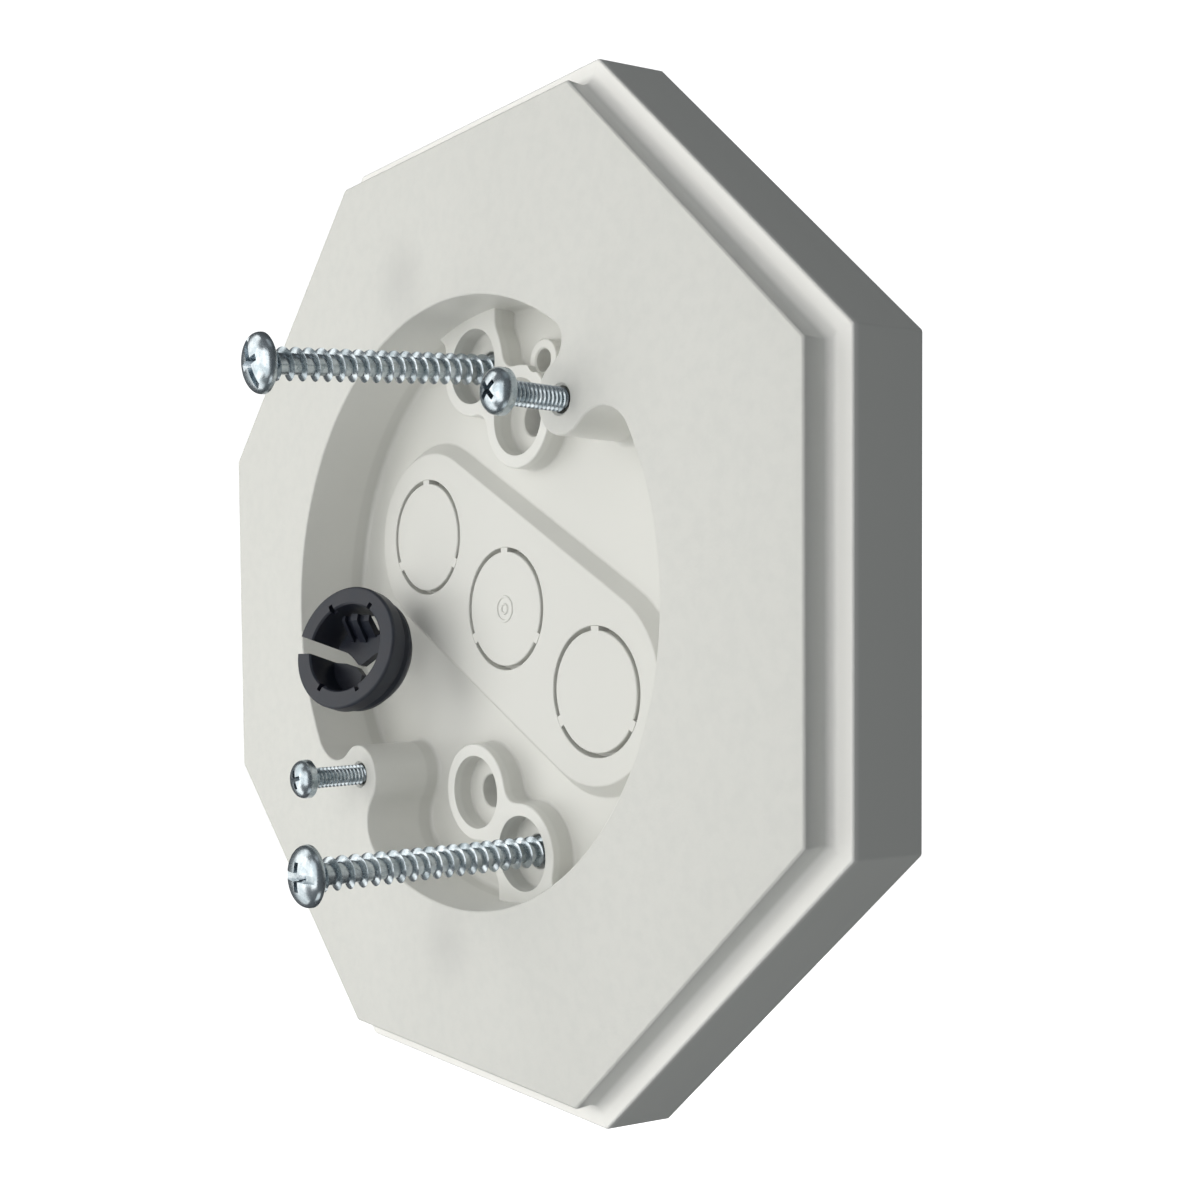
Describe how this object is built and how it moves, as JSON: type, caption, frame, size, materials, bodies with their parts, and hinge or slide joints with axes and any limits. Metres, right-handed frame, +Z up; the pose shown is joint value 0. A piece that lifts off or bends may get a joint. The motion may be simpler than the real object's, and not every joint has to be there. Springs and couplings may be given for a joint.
{
  "type": "fixture mounting block",
  "caption": "Octagonal wall mounting block with a round recess, cable knockouts, loose mounting and fixture screws and a snap-in cable connector.",
  "frame": {"origin": "centre of the plane that lies on the wall, behind the octagon", "axes": "+Y into the wall, +Z up, +X to the right as seen from the front; the front face is on the -Y side"},
  "size_m": [0.1714, 0.053, 0.1714],
  "materials": {
    "moulded_plastic": "off-white, finely speckled matte moulding",
    "zinc_steel": "bright zinc plate",
    "black_plastic": "blue-black semi-matte moulding"
  },
  "bodies": {
    "block": {"mounting_block": "moulded_plastic"},
    "upper_left_knockout": {"knockout_upper_left": "moulded_plastic"},
    "middle_knockout": {"knockout_middle": "moulded_plastic"},
    "lower_right_knockout": {"knockout_lower_right": "moulded_plastic"},
    "upper_mounting_screw": {"mounting_screw_upper": "zinc_steel"},
    "lower_mounting_screw": {"mounting_screw_lower": "zinc_steel"},
    "upper_fixture_screw": {"fixture_screw_upper": "zinc_steel"},
    "lower_fixture_screw": {"fixture_screw_lower": "zinc_steel"},
    "connector": {"cable_connector_body": "black_plastic"},
    "connector_tongue": {"cable_connector_tongue": "black_plastic"}
  },
  "joints": [
    {"name": "upper_left_knockout_push_out", "type": "slide", "parent": "block", "child": "upper_left_knockout", "axis": [0, 1, 0], "range_m": [0, 0.025]},
    {"name": "middle_knockout_push_out", "type": "slide", "parent": "block", "child": "middle_knockout", "axis": [0, 1, 0], "range_m": [0, 0.025]},
    {"name": "lower_right_knockout_push_out", "type": "slide", "parent": "block", "child": "lower_right_knockout", "axis": [0, 1, 0], "range_m": [0, 0.025]},
    {"name": "upper_mounting_screw_travel", "type": "slide", "parent": "block", "child": "upper_mounting_screw", "axis": [0, 0.9959, 0.0906], "range_m": [0, 0.0452]},
    {"name": "lower_mounting_screw_travel", "type": "slide", "parent": "block", "child": "lower_mounting_screw", "axis": [0, 0.9997, -0.0244], "range_m": [0, 0.0456]},
    {"name": "upper_fixture_screw_travel", "type": "slide", "parent": "block", "child": "upper_fixture_screw", "axis": [0, 1, 0], "range_m": [0, 0.0106]},
    {"name": "lower_fixture_screw_travel", "type": "slide", "parent": "block", "child": "lower_fixture_screw", "axis": [0, 1, 0], "range_m": [0, 0.0106]},
    {"name": "connector_withdrawal", "type": "slide", "parent": "block", "child": "connector", "axis": [0.2905, -0.9212, 0.2588], "range_m": [0, 0.05]},
    {"name": "tongue_flex", "type": "hinge", "parent": "connector", "child": "connector_tongue", "pos_m": [-0.03277, -0.0164, -0.00146], "axis": [0.9537, 0.3007, 0], "range_deg": [0, 18], "stiffness_Nm_per_rad": 0.002}
  ]
}
